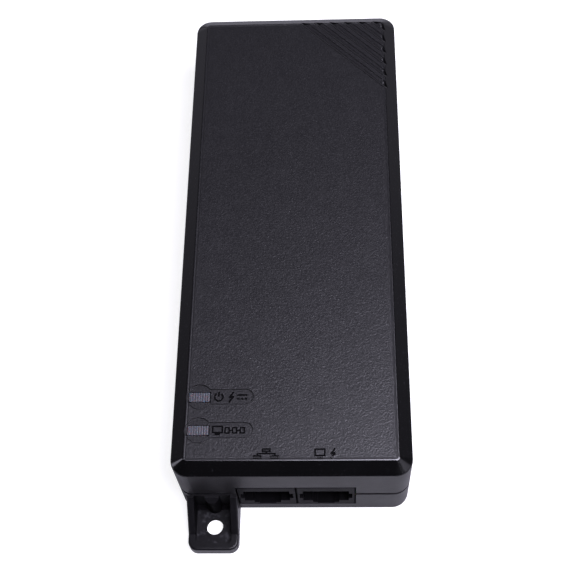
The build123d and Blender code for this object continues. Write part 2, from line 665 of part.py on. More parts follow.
def contact_leads(x):
    """The eight fixed leads: a hook in front of each arm, a run along the top and a tail."""
    low = CONTACT_AXIS_Z + CONTACT_KNUCKLE + CONTACT_GAP
    high = low + CONTACT_THICKNESS
    front = CONTACT_AXIS_Y - CONTACT_KNUCKLE - CONTACT_GAP - CONTACT_THICKNESS
    leads = []
    for wire_x, back in socket_lead_places(x):
        left, right = wire_x - CONTACT_WIDTH / 2, wire_x + CONTACT_WIDTH / 2
        half = CONTACT_THICKNESS / 2
        hook = block(left, right, front, front + CONTACT_THICKNESS, CONTACT_AXIS_Z - 0.2, high)
        run = block(left, right, front, back + half, low, high)
        tail = block(left, right, back - half, back + half, BOARD_Z - LEAD_TAIL, high)
        leads.append(hook + [run, tail])
    return leads


# ---------------------------------------------------------------- mains inlet
def make_mains_inlet_body():
    """A recessed three-pin inlet; its mouth has two chamfered upper corners."""
    half = INLET_WIDTH / 2
    face = INLET_FACE_Y
    top = BOARD_TOP + INLET_HEIGHT
    body = block(-half, half, face - INLET_DEPTH, face, BOARD_TOP, top)
    body = chamfer(body.faces().sort_by(Axis.Y)[-1].edges(), 0.3)
    flange_y = face - WALL - 0.75
    flange = block(-half - INLET_FLANGE, half + INLET_FLANGE, flange_y - 1.6, flange_y, BOARD_TOP, top)
    x, low, high = MOUTH_WIDTH / 2, INLET_MID_Z - MOUTH_HEIGHT / 2, INLET_MID_Z + MOUTH_HEIGHT / 2
    cut = MOUTH_CHAMFER
    corners = [(-x, low), (x, low), (x, high - cut), (x - cut, high), (-x + cut, high), (-x, high - cut)]
    outline = Polyline(*[(px, face + 1, pz) for px, pz in corners], close=True)
    mouth = extrude(make_face(outline), MOUTH_DEPTH + 1, dir=(0, -1, 0))
    mouth = fillet(mouth.edges().filter_by(Axis.Y), 0.8)
    slots = [pin_blade(*place, PIN_TAIL - 0.5, 0.0) for place in inlet_pin_places()]
    return (body + flange) - [mouth] - slots


def inlet_pin_places():
    """Centres (x, z) of the line, neutral and earth pins."""
    low, high = INLET_MID_Z - PIN_OFFSET, INLET_MID_Z + PIN_OFFSET
    return [(-PIN_SPACING, low), (PIN_SPACING, low), (0.0, high)]


def inlet_tail_places():
    return [(x, INLET_FACE_Y - PIN_TAIL + 0.5) for x, _ in inlet_pin_places()]


def pin_blade(x, z, depth, setback):
    """A flat blade from its tip back to a depth behind the inlet's face."""
    y0, y1 = INLET_FACE_Y - depth, INLET_FACE_Y - setback
    half, tall = PIN_THICKNESS / 2, PIN_WIDTH / 2
    return block(x - half, x + half, y0, y1, z - tall, z + tall)


def inlet_pin(index):
    """A blade with a chamfered tip, and its tail down into the board."""
    x, z = inlet_pin_places()[index]
    blade = pin_blade(x, z, PIN_TAIL, PIN_SETBACK)
    blade = chamfer(blade.faces().sort_by(Axis.Y)[-1].edges(), 0.5)
    y = INLET_FACE_Y - PIN_TAIL
    return blade + block(x - 0.5, x + 0.5, y, y + 1.0, BOARD_Z - LEAD_TAIL, z)


# ---------------------------------------------------------------- components
def disc_component(place, diameter, thickness):
    """A dipped disc on edge, with two leads."""
    x, y = place
    centre = BOARD_TOP + 1.5 + diameter / 2
    disc = Pos(x, y, centre) * Rot(90, 0, 0) * Cylinder(diameter / 2, thickness)
    disc = fillet(disc.edges().filter_by(GeomType.CIRCLE), thickness * 0.35)
    return disc + legs(disc_legs(place), centre)


def make_fuse():
    x, y = FUSE_AT
    body = pad(x, y, 4.2, 8.5, BOARD_TOP + 0.4, BOARD_TOP + 8.2)
    body = fillet(body.edges().filter_by(Axis.Z), 0.6)
    return body + legs(pair(FUSE_AT, 5.1, along_y=True), BOARD_TOP + 1)


def make_x_capacitor():
    x, y = X_CAP_AT
    body = pad(x, y, 17.5, 7.6, BOARD_TOP + 0.3, BOARD_TOP + 13.5)
    body = fillet(body.edges().filter_by(Axis.Z), 0.5)
    return body + legs(pair(X_CAP_AT, 15.0), BOARD_TOP + 1)


def make_bridge_rectifier():
    x, y = BRIDGE_AT
    body = pad(x, y, 14.5, 3.6, BOARD_TOP + 2.0, BOARD_TOP + 12.6)
    corner = body.edges().filter_by(Axis.Y).sort_by(Axis.Z)[-2:].sort_by(Axis.X)[:1]
    return chamfer(corner, 2.5) + legs(row(BRIDGE_AT, 4, 3.8), BOARD_TOP + 3)


def make_choke_core():
    """A closed rectangular ferrite frame standing on edge."""
    x, y = CHOKE_AT
    low = BOARD_TOP + 1.0
    frame = pad(x, y, 17.0, 5.0, low, low + 15.0)
    return frame - pad(x, y, 9.6, 6.0, low + 3.7, low + 11.3)


def make_choke_windings():
    """Two wound bobbins, one on each upright limb of the frame."""
    x, y = CHOKE_AT
    low = BOARD_TOP + 4.8
    limb = pad(x, y, 17.0, 5.0, low - 2, low + 9.4)
    bobbins = []
    for side in (-1, 1):
        middle = x + side * (4.8 + 1.85)
        coil = pad(middle, y, 7.6, 9.0, low + 0.8, low + 6.6)
        flanges = [pad(middle, y, 8.6, 11.2, z, z + 0.8) for z in (low, low + 6.6)]
        coil = (coil + flanges) - (limb & pad(middle, y, 3.8, 6.0, low - 2, low + 9.4))
        places = [place for place in choke_legs() if (place[0] - x) * side > 0]
        bobbins.append(coil + legs(places, low + 0.4))
    return bobbins


def make_bulk_capacitor():
    """A large electrolytic can lying along Y, with the crimp near its sealed end."""
    x, y = BULK_CAP_AT
    radius, length = 8.0, 26.0
    centre = BOARD_TOP + 0.2 + radius
    can = Pos(x, y, centre) * Rot(90, 0, 0) * Cylinder(radius, length)
    can = fillet(can.edges().filter_by(GeomType.CIRCLE), 0.8)
    ring = Cylinder(radius + 1, 1.2) - Cylinder(radius - 0.7, 1.2)
    can = can - Pos(x, y + length / 2 - 3.4, centre) * Rot(90, 0, 0) * ring
    for place_x, place_y in bulk_cap_legs():
        run = block(place_x - 0.35, place_x + 0.35, y + length / 2 - 1, place_y, centre - 0.35, centre + 0.35)
        can = can + [run, rod(place_x, place_y, BOARD_Z - LEAD_TAIL, centre + 0.35, LEAD_RADIUS)]
    return can


def output_capacitor(place):
    """An upright electrolytic can with a crimped foot and scored top."""
    x, y = place
    low, high = BOARD_TOP + 0.3, BOARD_TOP + 17.0
    can = rod(x, y, low, high, 5.0)
    can = fillet(can.edges().filter_by(GeomType.CIRCLE), 0.5)
    can = can - (rod(x, y, low + 1.8, low + 2.6, 6) - rod(x, y, low + 1.8, low + 2.6, 4.5))
    scores = [pad(x, y, 5, 0.3, high - 0.2, high + 1), pad(x, y, 0.3, 5, high - 0.2, high + 1)]
    return (can - scores) + legs(pair(place, 5.0), low + 0.5)


def make_output_inductor_core():
    """A ferrite spool with flanges at both ends."""
    x, y = OUTPUT_COIL_AT
    low = BOARD_TOP + 0.8
    spool = rod(x, y, low, low + 12, 3.0) + [rod(x, y, z, z + 1.6, 5.2) for z in (low, low + 10.4)]
    leads = pair(OUTPUT_COIL_AT, 7.0, along_y=True)
    return spool - [rod(px, py, low - 1, low + 2, LEAD_RADIUS + 0.1) for px, py in leads]


def make_output_inductor_winding():
    """The coil between the spool's flanges, drawn as stacked turns."""
    x, y = OUTPUT_COIL_AT
    low = BOARD_TOP + 0.8 + 1.6
    turns = [rod(x, y, low + 0.05 + 1.1 * k, low + 1.05 + 1.1 * k, 4.6) for k in range(8)]
    coil = fused([rod(x, y, low + 0.05, low + 8.7, 4.3)] + turns) - rod(x, y, low - 1, low + 10, 3.05)
    leads = legs(pair(OUTPUT_COIL_AT, 7.0, along_y=True), low + 0.5)
    return coil + leads


def heatsink(place):
    """An upright plate with a hole for the screw of its device."""
    x, y = place
    low, high = BOARD_TOP + 0.2, BOARD_TOP + SINK_HEIGHT
    plate = pad(x, y, SINK_THICKNESS, SINK_LENGTH, low, high)
    plate = chamfer(plate.edges().filter_by(Axis.X), 0.6)
    legs_down = legs(sink_legs(place), low + 1)
    hole = Pos(x, y, BOARD_TOP + SINK_SCREW_UP) * Rot(0, 90, 0) * Cylinder(1.6, 2 * SINK_THICKNESS)
    return (plate - hole) + legs_down


def power_device(place, side):
    """A tabbed three-lead device standing against its heatsink."""
    x, y = place
    back = x + side * (SINK_THICKNESS / 2 + 0.05)
    low = BOARD_TOP + 3.0
    tab = block(*sorted((back, back + side * 1.2)), y - 5, y + 5, low + 3, low + 15.0)
    case = block(*sorted((back, back + side * 4.4)), y - 5, y + 5, low, low + 9.0)
    case = chamfer(case.faces().sort_by(Axis.X)[-1 if side > 0 else 0].edges(), 0.4)
    hole = Pos(back, y, BOARD_TOP + SINK_SCREW_UP) * Rot(0, 90, 0) * Cylinder(1.8, 6)
    return ((tab + case) - hole) + legs(transistor_legs(place, side), low + 1)


def heatsink_screw(place, side):
    """The screw and nut that clamp a device to its heatsink."""
    x, y = place
    z = BOARD_TOP + SINK_SCREW_UP
    seat = x + side * (SINK_THICKNESS / 2 + 0.05 + 1.25)
    far = x - side * (SINK_THICKNESS / 2 + 0.05)
    turn = Rot(0, 90, 0)
    shank = Pos((seat + far - side * 2.0) / 2, y, z) * turn * Cylinder(1.45, abs(seat - far) + 2.0)
    head = Pos(seat + side * 0.9, y, z) * turn * Cylinder(2.6, 1.8)
    nut = Pos(far - side * 1.0, y, z) * turn * extrude(RegularPolygon(2.9, 6), 1.0, both=True)
    return shank + [head, nut]


def make_transformer_core():
    """Two E halves closed round the bobbin: outer limbs and a middle limb along Y."""
    x, y = TRANSFORMER_AT
    low, high = BOARD_TOP + 2.6, BOARD_TOP + 20.4
    core = block(x - 13, x + 13, y - 3.6, y + 3.6, low, high)
    return core - [pad(x + k * 6.7, y, 6.2, 8, low + 3.6, high - 3.6) for k in (-1, 1)]


def make_transformer_winding():
    """The taped coil round the middle limb."""
    x, y = TRANSFORMER_AT
    low = BOARD_TOP + 2.6 + 3.6 + 1.2
    high = BOARD_TOP + 20.4 - 3.6 - 1.2
    coil = pad(x, y, 18.6, 18.6, low + 0.05, high - 0.05)
    coil = fillet(coil.edges().filter_by(Axis.Z), 3.0)
    return coil - pad(x, y, 9.6, 9.6, low - 1, high + 1)


def make_transformer_bobbin():
    """The moulded spool: a tube, two flanges and two pin rails."""
    x, y = TRANSFORMER_AT
    low, high = BOARD_TOP + 2.6 + 3.65, BOARD_TOP + 20.4 - 3.65
    tube = pad(x, y, 9.5, 9.5, low, high)
    flanges = [pad(x, y, 19.2, 20.0, z, z + 1.1) for z in (low, high - 1.1)]
    rails = [pad(x, y + k * 10.5, 22.0, 4.0, BOARD_TOP + 0.5, low + 1.1) for k in (-1, 1)]
    spool = (tube + flanges + rails) - pad(x, y, 7.4, 7.4, low - 4, high + 1)
    spool = spool - block(x - 14, x + 14, y - 3.8, y + 3.8, BOARD_TOP, low - 0.01)
    return spool + legs(transformer_legs(), BOARD_TOP + 1.5)


def through_hole_chip(place, count, width, length, height):
    """A moulded chip with a notch at one end and a row of leads on each long side."""
    x, y = place
    low = BOARD_TOP + 0.5
    body = pad(x, y, width, length, low, low + height)
    body = chamfer(body.faces().sort_by(Axis.Z)[-1].edges(), 0.3)
    body = body - rod(x - width / 2, y, low + height - 0.5, low + height + 1, 0.8)
    shoulder = low + height / 2
    for px, py in chip_legs(place, count, 2.54, 7.6):
        side = 1 if py > y else -1
        inner = y + side * (length / 2 - 0.4)
        y0, y1 = sorted((inner, py + side * 0.2))
        arm = block(px - 0.3, px + 0.3, y0, y1, shoulder - 0.15, shoulder + 0.15)
        body = body + [arm, rod(px, py, BOARD_Z - LEAD_TAIL, shoulder, 0.3)]
    return body


def surface_chip(place, pads, pitch, width, length, height):
    """A moulded part with flat feet on the board along both long sides."""
    x, y = place
    body = pad(x, y, width, length, BOARD_TOP + 0.2, BOARD_TOP + height)
    body = chamfer(body.faces().sort_by(Axis.Z)[-1].edges(), 0.3)
    feet = []
    for side in (-1, 1):
        for px, _ in row(place, pads, pitch):
            y0, y1 = sorted((y + side * (length / 2 - 0.5), y + side * (length / 2 + 1.0)))
            knee = pad(px, y + side * (length / 2 + 0.35), 0.4, 0.3, BOARD_TOP, BOARD_TOP + 1.0)
            foot = block(px - 0.2, px + 0.2, *sorted((y + side * (length / 2 + 0.2), y1)),
                         BOARD_TOP, BOARD_TOP + 0.25)
            neck = block(px - 0.2, px + 0.2, *sorted((y0, y + side * (length / 2 + 0.5))),
                         BOARD_TOP + 0.75, BOARD_TOP + 1.0)
            feet += [knee, foot, neck]
    return body + feet


# ---------------------------------------------------------------- every node and its maker
NODES = {
    "top_cover": make_top_cover,
    "bottom_shell": make_bottom_shell,
    "wall_ears": make_wall_ears,
    "rating_label": make_rating_label,
    "case_screws": make_case_screws,
    "main_board": make_main_board,
    "board_screws": make_board_screws,
    "insulating_sheet": make_insulating_sheet,
    "power_light_pipe": lambda: light_pipe(POWER_FROM_END),
    "port_light_pipe": lambda: light_pipe(PORT_FROM_END),
    "power_led": lambda: lamp(POWER_FROM_END),
    "port_led": lambda: lamp(PORT_FROM_END),
    "lan_socket_housing": lambda: socket_housing(LAN_X),
    "poe_socket_housing": lambda: socket_housing(POE_X),
    "lan_contact_springs": lambda: contact_springs(LAN_X),
    "poe_contact_springs": lambda: contact_springs(POE_X),
    "lan_contact_leads": lambda: contact_leads(LAN_X),
    "poe_contact_leads": lambda: contact_leads(POE_X),
    "mains_inlet_body": make_mains_inlet_body,
    "inlet_line_pin": lambda: inlet_pin(0),
    "inlet_neutral_pin": lambda: inlet_pin(1),
    "inlet_earth_pin": lambda: inlet_pin(2),
    "fuse": make_fuse,
    "thermistor": lambda: disc_component(THERMISTOR_AT, 9.0, 3.6),
    "varistor": lambda: disc_component(VARISTOR_AT, 8.4, 3.4),
    "choke_core": make_choke_core,
    "choke_windings": make_choke_windings,
    "x_capacitor": make_x_capacitor,
    "bridge_rectifier": make_bridge_rectifier,
    "bulk_capacitor": make_bulk_capacitor,
    "primary_heatsink": lambda: heatsink(PRIMARY_SINK_AT),
    "switching_transistor": lambda: power_device(PRIMARY_SINK_AT, 1),
    "control_chip": lambda: through_hole_chip(CONTROL_CHIP_AT, 4, 9.8, 6.2, 3.3),
    "transformer_core": make_transformer_core,
    "transformer_winding": make_transformer_winding,
    "transformer_bobbin": make_transformer_bobbin,
    "y_capacitor": lambda: disc_component(Y_CAP_AT, 8.0, 3.4),
    "optocoupler": lambda: through_hole_chip(OPTOCOUPLER_AT, 2, 4.7, 6.2, 3.3),
    "output_heatsink": lambda: heatsink(OUTPUT_SINK_AT),
    "output_diode": lambda: power_device(OUTPUT_SINK_AT, -1),
    "heatsink_screws": lambda: [heatsink_screw(PRIMARY_SINK_AT, 1), heatsink_screw(OUTPUT_SINK_AT, -1)],
    "output_capacitors": lambda: [output_capacitor(place) for place in OUTPUT_CAP_PLACES],
    "output_inductor_core": make_output_inductor_core,
    "output_inductor_winding": make_output_inductor_winding,
    "lan_magnetics": lambda: surface_chip(MAGNETICS_AT, 8, 1.6, 14.0, 9.6, 6.0),
    "poe_controller": lambda: surface_chip(POE_CHIP_AT, 8, 1.27, 10.3, 7.5, 2.5),
}

os.makedirs("parts", exist_ok=True)
for name, make in NODES.items():
    made = make()
    pieces = made if isinstance(made, list) else [made]
    solids = [solid for piece in pieces for solid in piece.solids()]
    whole = solids[0] if len(solids) == 1 else Compound(children=solids)
    export_step(whole, f"parts/{name}.step")
    box = whole.bounding_box()
    print(name, len(solids), "solids", [round(v, 2) for v in (*box.min, *box.max)])
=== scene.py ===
import json
import math

import bmesh
import bpy
from mathutils import Matrix, Vector


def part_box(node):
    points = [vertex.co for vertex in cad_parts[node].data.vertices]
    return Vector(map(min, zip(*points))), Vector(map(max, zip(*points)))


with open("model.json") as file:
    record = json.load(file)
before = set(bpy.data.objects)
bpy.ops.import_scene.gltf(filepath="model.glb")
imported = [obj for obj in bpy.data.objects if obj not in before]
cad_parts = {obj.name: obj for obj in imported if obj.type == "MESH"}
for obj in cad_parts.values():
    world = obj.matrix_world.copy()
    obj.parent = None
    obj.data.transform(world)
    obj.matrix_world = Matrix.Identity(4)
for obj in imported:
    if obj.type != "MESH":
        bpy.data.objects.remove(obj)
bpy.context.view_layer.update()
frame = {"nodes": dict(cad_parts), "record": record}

# The looks of a power-over-Ethernet injector. Lengths are in metres unless a name ends in _MM,
# and every material works in millimetres of the part's own frame.
NODES = frame["nodes"]
BASE_COLOURS = {entry["slot"]: entry["base_color"] for entry in frame["record"]["materials"]}
SLOT_OF = {entry["node"]: entry["material_slot"] for entry in frame["record"]["subparts"]}
MM = 1000.0

# Places on the case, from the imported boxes; the raised marks are the highest thing on the cover
COVER_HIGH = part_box("top_cover")[1]
EARS_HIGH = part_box("wall_ears")[1]
LABEL_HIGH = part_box("rating_label")[1]
BOARD_TOP_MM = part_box("main_board")[1].z * MM
WINDOW_NEAR_ENDS_MM = [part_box(name)[0].y * MM for name in ("power_light_pipe", "port_light_pipe")]
HALF_WIDTH_MM = COVER_HIGH.x * MM
HALF_LENGTH_MM = COVER_HIGH.y * MM
MARK_HEIGHT_MM = 0.2
TOP_MM = COVER_HIGH.z * MM - MARK_HEIGHT_MM

# The cover: its bevel, the smooth border inside the bevel, and the heights of the sunken tab marks
BEVEL_INSET_MM = 3.4
BEVEL_DROP_MM = 2.2
TOP_CORNER_MM = 0.4
BORDER_MM = 0.7
BORDER_BLEND_MM = 0.08
TAB_MARK_LOW_MM, TAB_MARK_HIGH_MM = TOP_MM - 0.2, TOP_MM - 0.02
RECESS_LOW_MM, RECESS_HIGH_MM = TOP_MM - 0.45, TOP_MM - 0.4
# How far up a face points, as a cosine: level, and wholly on the bevel
LEVEL_UP, BEVEL_UP = 0.985, 0.955

# The wall ears, the sockets' front faces and the light pipes
EAR_FLOOR_MM = 2.0
EAR_HALF_WIDTH_MM = 6.6
EAR_TIP_WALL_MM = 1.2
POCKET_EDGE_MM = 0.3
FACE_DEPTH_MM = 0.3
RIB_PITCH_MM = 0.62

# The rating label's printed border
LABEL_CORNER_MM = 1.5
LABEL_LINE_OUT_MM, LABEL_LINE_IN_MM = 1.4, 1.9

# Grain of the mouldings: size across, and depth of the relief
GRAIN_MM, GRAIN_PIT_MM, GRAIN_CREST_MM, GRAIN_DEPTH_MM = 0.4, 0.42, 0.36, 0.034
BORDER_LINE_DEPTH_MM = 0.06
SKIN_DEPTH_MM = 0.012

# Specular levels of the satin sides, the ears and the faces in shade
WALL_SPECULAR = 0.18
EAR_SPECULAR = 0.2
SHADED_SPECULAR = 0.02

# Colours that no slot of the record states
DUST = (0.16, 0.16, 0.18, 1.0)
RUBBED_BLACK = (0.14, 0.14, 0.15, 1.0)
SCREW_RUB = (0.14, 0.14, 0.155, 1.0)
GLASS_WEAVE = (0.32, 0.3, 0.16, 1.0)
TINNED_LEAD = (0.55, 0.55, 0.56, 1.0)
SLEEVE_STRIPE = (0.42, 0.43, 0.45, 1.0)

# Camera: where it stands, and how it is turned
CAMERA_AT = Vector((0.012038, -0.157304, 0.286294))
CAMERA_YAW, CAMERA_PITCH, CAMERA_ROLL = (math.radians(a) for a in (5.3543, 62.1647, -5.4053))
CAMERA_LENS_MM = 68.28
SENSOR_MM = 36.0
CLIP_START, CLIP_END = 0.01, 20.0

# Soft boxes: name, direction from the case, distance, width, height and radiance
SOFT_BOXES = (
    ("key", (0.42, -0.28, 0.86), 0.5, 0.3, 0.3, 14.0),
    ("highlight_strip", (0.2, -0.2, 0.96), 0.6, 0.4, 0.12, 14.0),
    ("left_front", (-0.88, -0.08, 0.42), 0.7, 0.12, 0.3, 3.2),
    ("right_front", (0.78, -0.4, 0.5), 0.7, 0.34, 0.3, 0.9),
    ("below", (0.0, 0.0, -1.0), 0.7, 0.8, 0.8, 2.0),
)
LIGHT_COLOUR = (0.97, 0.94, 1.12)

# The room that lights the case: a dim glow all round, and more of it low down behind the case.
# The two spans are of the direction's y and z, from none of the change to all of it.
ROOM_DIM = 0.04
ROOM_BACK = 0.5
ROOM_ABOVE_SHARE = 0.15
BEHIND_SPAN = (0.05, 0.95)
RISING_SPAN = (0.3, 0.65)
# The room that the camera sees
ROOM_SEEN = (0.93, 0.93, 0.94, 1.0)

# The floor: its two greys, the glow that only the camera sees on it, and how far it lies below the feet
FLOOR_DARK, FLOOR_PALE = (0.39, 0.39, 0.39, 1.0), (0.41, 0.41, 0.41, 1.0)
FLOOR_LIFT = 0.8
FLOOR_SIZE = 3.0
FLOOR_DROP = 0.0002


# ------------------------------------------------------------------ material building
class Finish:
    """A node material, with short calls for the nodes that the finishes share."""

    def __init__(self, name):
        self.material = bpy.data.materials.new(name)
        self.material.use_nodes = True
        self.tree = self.material.node_tree
        self.shader = self.tree.nodes["Principled BSDF"]
        where = self.add("ShaderNodeTexCoord")
        grown = self.add("ShaderNodeVectorMath", operation="SCALE")
        self.tree.links.new(where.outputs["Object"], grown.inputs[0])
        grown.inputs["Scale"].default_value = MM
        self.at = grown.outputs[0]
        self.facing = where.outputs["Normal"]

    def add(self, kind, **settings):
        node = self.tree.nodes.new(kind)
        for key, value in settings.items():
            setattr(node, key, value)
        return node

    def feed(self, socket, value):
        if isinstance(value, bpy.types.NodeSocket):
            self.tree.links.new(value, socket)
        else:
            socket.default_value = value

    def math(self, operation, *values, clamp=False):
        node = self.add("ShaderNodeMath", operation=operation, use_clamp=clamp)
        for socket, value in zip(node.inputs, values):
            self.feed(socket, value)
        return node.outputs[0]

    def parts(self, vector):
        """The x, y and z of a vector."""
        node = self.add("ShaderNodeSeparateXYZ")
        self.feed(node.inputs[0], vector)
        return tuple(node.outputs)

    def ramp(self, value, low, high, start=0.0, end=1.0):
        """A smooth change from start to end as value goes from low to high."""
        node = self.add("ShaderNodeMapRange", interpolation_type="SMOOTHSTEP")
        for socket, entry in zip(node.inputs, (value, low, high, start, end)):
            self.feed(socket, entry)
        return node.outputs[0]

    def mix(self, factor, first, second):
        """A number between two others."""
        node = self.add("ShaderNodeMix", data_type="FLOAT")
        self.feed(node.inputs[0], factor)
        self.feed(node.inputs[2], first)
        self.feed(node.inputs[3], second)
        return node.outputs[0]

    def tint(self, factor, first, second):
        """A colour between two others."""
        node = self.add("ShaderNodeMix", data_type="RGBA")
        self.feed(node.inputs[0], factor)
        self.feed(node.inputs[6], first)
        self.feed(node.inputs[7], second)
        return node.outputs[2]

    def stretched(self, scale):
        """The position with each axis scaled, for streaks and brushed grain."""
        node = self.add("ShaderNodeVectorMath", operation="MULTIPLY")
        self.feed(node.inputs[0], self.at)
        node.inputs[1].default_value = scale
        return node.outputs[0]

    def noise(self, size_mm, detail=3.0, rough=0.5, at=None, twist=0.0):
        node = self.add("ShaderNodeTexNoise")
        self.feed(node.inputs["Vector"], at or self.at)
        node.inputs["Scale"].default_value = 1.0 / size_mm
        node.inputs["Detail"].default_value = detail
        node.inputs["Roughness"].default_value = rough
        node.inputs["Distortion"].default_value = twist
        return node.outputs[0]

    def cells(self, size_mm):
        """How far the nearest of a scatter of points is."""
        node = self.add("ShaderNodeTexVoronoi")
        self.feed(node.inputs["Vector"], self.at)
        node.inputs["Scale"].default_value = 1.0 / size_mm
        return node.outputs["Distance"]

    def bump(self, height, depth_mm, under=None):
        """Relief of a height map; depth_mm is how far one unit of height stands."""
        node = self.add("ShaderNodeBump")
        node.inputs["Distance"].default_value = depth_mm / MM
        self.feed(node.inputs["Height"], height)
        if under is not None:
            self.feed(node.inputs["Normal"], under)
        return node.outputs[0]

    def set(self, **values):
        """Shader sockets, named with underscores for spaces."""
        for key, value in values.items():
            self.feed(self.shader.inputs[key.replace("_", " ")], value)
        return self.material


def rgb(colour, gain):
    """A colour made brighter or darker, with its alpha."""
    return (colour[0] * gain, colour[1] * gain, colour[2] * gain, 1.0)


def outline_distance(finish, half_x, half_y, corner):
    """How far a point lies outside a rounded rectangle about the origin; negative inside."""
    x, y, _ = finish.parts(finish.at)
    over_x = finish.math("SUBTRACT", finish.math("ABSOLUTE", x), half_x - corner)
    over_y = finish.math("SUBTRACT", finish.math("ABSOLUTE", y), half_y - corner)
    out_x = finish.math("MAXIMUM", over_x, 0.0)
    out_y = finish.math("MAXIMUM", over_y, 0.0)
    far = finish.math("SQRT", finish.math("ADD", finish.math("POWER", out_x, 2.0),
                                          finish.math("POWER", out_y, 2.0)))
    inside = finish.math("MINIMUM", finish.math("MAXIMUM", over_x, over_y), 0.0)
    return finish.math("SUBTRACT", finish.math("ADD", far, inside), corner)


# ------------------------------------------------------------------ finishes of the case
def leather_height(finish):
    """Fine moulded grain: sandy bumps a little wider than they are long, with small pits between."""
    sand = finish.noise(GRAIN_MM, detail=1.5, rough=0.6, at=finish.stretched((0.85, 1.0, 1.0)))
    pits = finish.cells(GRAIN_PIT_MM)
    return finish.math("MULTIPLY_ADD", sand, 2.4, finish.math("MULTIPLY", pits, 0.4))


def cover_plastic(base):
    """Matte grain on the top face, a smooth border round it and a glossy bevel; painted shade darkens the
    bevel and the marks.
    """
    finish = Finish("cover_plastic")
    _, _, z = finish.parts(finish.at)
    _, _, up = finish.parts(finish.facing)
    outside = outline_distance(finish, HALF_WIDTH_MM - BEVEL_INSET_MM,
                               HALF_LENGTH_MM - BEVEL_INSET_MM, TOP_CORNER_MM)
    on_bevel = finish.ramp(up, LEVEL_UP, BEVEL_UP)
    on_bevel = finish.math("MULTIPLY", on_bevel, finish.ramp(outside, -0.5, -0.1))
    level = finish.ramp(up, 0.93, LEVEL_UP)
    in_border = finish.ramp(outside, -BORDER_MM - BORDER_BLEND_MM, -BORDER_MM + BORDER_BLEND_MM)
    line = finish.math("MULTIPLY", in_border, finish.ramp(outside, -BORDER_MM + 0.4, -BORDER_MM + 0.2))
    on_mark = finish.ramp(z, TOP_MM + 0.015, TOP_MM + 0.03)
    full_height = finish.ramp(z, RECESS_LOW_MM, RECESS_HIGH_MM)
    grained = finish.math("MULTIPLY", full_height, finish.math("SUBTRACT", 1.0, in_border))
    in_tab = finish.math("MULTIPLY", finish.ramp(z, TAB_MARK_LOW_MM - 0.06, TAB_MARK_LOW_MM),
                         finish.ramp(z, TAB_MARK_HIGH_MM, TAB_MARK_HIGH_MM - 0.02))
    mark = finish.math("MAXIMUM", on_mark, finish.math("MULTIPLY", level, in_tab))
    grained = finish.math("MULTIPLY", grained, finish.math("SUBTRACT", 1.0, mark))

    slow = finish.noise(26.0, detail=3.0)
    handled = finish.noise(5.0, detail=4.0, rough=0.6)
    dust = finish.ramp(finish.noise(0.45, detail=1.0), 0.71, 0.75)
    scuffs = finish.ramp(finish.noise(1.6, detail=5.0, rough=0.65, at=finish.stretched((1.0, 0.16, 1.0))),
                         0.63, 0.72)

    colour = finish.tint(slow, rgb(base, 0.9), rgb(base, 1.25))
    # painted shade: the bevel's colour is darkened to a fifth of the base, standing in for the dark that the
    # glossy bevel reflects
    colour = finish.tint(on_bevel, colour, rgb(base, 0.2))
    colour = finish.tint(finish.math("MULTIPLY", dust, 0.07), colour, DUST)
    # painted shade: the raised marks and tab marks are coloured darker, at 0.3 of the base, so they read as
    # dark strokes
    colour = finish.tint(mark, colour, rgb(base, 0.3))

    crests = finish.ramp(finish.noise(GRAIN_CREST_MM, detail=1.0), 0.36, 0.64)
    rough = finish.math("MULTIPLY_ADD", crests, -0.1, finish.mix(handled, 0.43, 0.51))
    rough = finish.mix(on_bevel, rough, finish.mix(handled, 0.12, 0.19))
    rough = finish.math("MULTIPLY_ADD", scuffs, 0.05, rough)
    rough = finish.mix(mark, rough, 0.12)

    relief = finish.bump(finish.math("MULTIPLY", leather_height(finish), grained), GRAIN_DEPTH_MM)
    relief = finish.bump(line, -BORDER_LINE_DEPTH_MM, under=relief)
    return finish.set(Base_Color=colour, Roughness=rough, Normal=relief)


def satin_walls(name, base):
    """Satin moulded sides: a fine even skin, slow drift and a few rubbed streaks."""
    finish = Finish(name)
    slow = finish.noise(24.0, detail=3.0)
    handled = finish.noise(5.0, detail=4.0, rough=0.6)
    rubbed = finish.ramp(finish.noise(1.6, detail=5.0, rough=0.65, at=finish.stretched((0.3, 0.16, 1.0))),
                         0.62, 0.72)
    colour = finish.tint(slow, rgb(base, 0.85), rgb(base, 1.15))
    colour = finish.tint(finish.math("MULTIPLY", rubbed, 0.05), colour, RUBBED_BLACK)
    rough = finish.math("MULTIPLY_ADD", rubbed, 0.06, finish.mix(handled, 0.36, 0.46))
    relief = finish.bump(finish.noise(0.16, detail=2.0), SKIN_DEPTH_MM)
    return finish.set(Base_Color=colour, Roughness=rough, Normal=relief, Specular_IOR_Level=WALL_SPECULAR)


def base_plastic(base):
    return satin_walls("base_plastic", base)


def ear_plastic(base):
    """Rims, outsides and floors of the wall ears: polished, and rubbed paler on the floors by screw heads."""
    finish = Finish("ear_plastic")
    _, _, z = finish.parts(finish.at)
    handled = finish.noise(3.0, detail=4.0, rough=0.6)
    on_floor = finish.ramp(z, EAR_FLOOR_MM + 0.4, EAR_FLOOR_MM)
    worn = finish.math("MULTIPLY", finish.ramp(finish.noise(1.2, detail=4.0), 0.5, 0.7), on_floor)
    colour = finish.tint(handled, rgb(base, 0.5), rgb(base, 1.0))
    colour = finish.tint(finish.math("MULTIPLY", worn, 0.1), colour, SCREW_RUB)
    rough = finish.math("MULTIPLY_ADD", worn, 0.1, finish.mix(handled, 0.26, 0.4))
    relief = finish.bump(finish.noise(0.2, detail=2.0), SKIN_DEPTH_MM)
    return finish.set(Base_Color=colour, Roughness=rough, Normal=relief, Specular_IOR_Level=EAR_SPECULAR)


